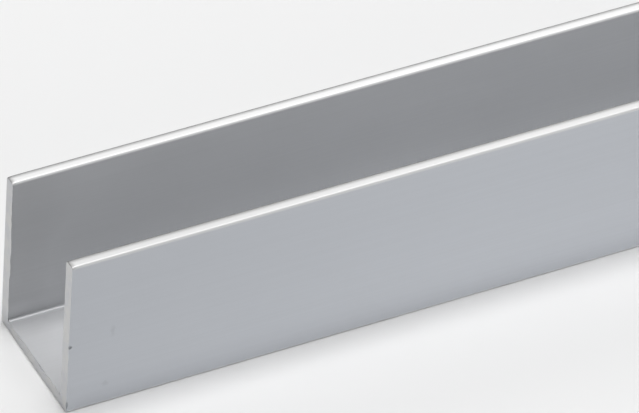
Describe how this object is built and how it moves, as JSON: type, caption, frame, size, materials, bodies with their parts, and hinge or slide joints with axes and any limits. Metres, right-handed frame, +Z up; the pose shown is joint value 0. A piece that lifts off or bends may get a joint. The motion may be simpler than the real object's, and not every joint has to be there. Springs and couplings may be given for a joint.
{
  "type": "aluminium u-channel extrusion profile",
  "caption": "Straight length of extruded aluminium U-channel with a flat web and two equal square-edged flanges, for edging, guiding and framing panels.",
  "frame": {"origin": "middle of the web's underside, half way along the bar", "axes": "+X along the bar, +Y across its width, +Z up out of the open side"},
  "size_m": [1, 0.02, 0.025],
  "materials": {
    "aluminium": "satin, as extruded and clear anodised"
  },
  "bodies": {
    "root": {"channel": "aluminium"}
  },
  "joints": []
}
